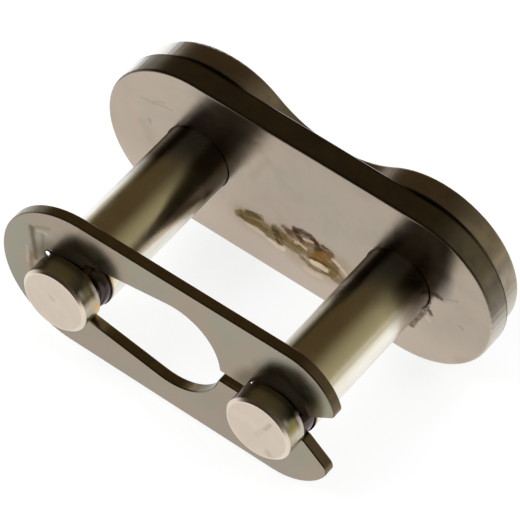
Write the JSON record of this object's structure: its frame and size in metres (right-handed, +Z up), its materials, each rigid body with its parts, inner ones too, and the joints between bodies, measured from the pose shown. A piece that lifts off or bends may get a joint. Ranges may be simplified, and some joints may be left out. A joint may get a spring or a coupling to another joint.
{
  "type": "chain connecting link",
  "caption": "Roller chain connecting link: figure-eight pin plate with riveted pins, slip-on cover plate and open-ended spring clip snapped into grooves.",
  "frame": {"origin": "midway between the two pin axes and halfway along the length of the pins", "axes": "+X along the pitch, from the closed end of the clip to its open end; -Y along the pins, from the pin plate to the clip; +Z up across the plates"},
  "size_m": [0.0242, 0.0156, 0.0104],
  "materials": {
    "plate_steel": "satin, lightly oiled",
    "pin_steel": "ground, oiled",
    "clip_steel": "tempered spring steel, smooth and oiled"
  },
  "bodies": {
    "pin_link": {"pin_plate": "plate_steel", "pin_left": "pin_steel", "pin_right": "pin_steel"},
    "cover": {"cover_plate": "plate_steel"},
    "clip": {"spring_clip": "clip_steel"}
  },
  "joints": [
    {"name": "cover_slide", "type": "slide", "parent": "pin_link", "child": "cover", "axis": [0, -1, 0], "range_m": [0, 0.0099]},
    {"name": "clip_release", "type": "slide", "parent": "pin_link", "child": "clip", "axis": [-1, 0, 0], "range_m": [0, 0.0045], "deforming": ["spring_clip"]}
  ]
}
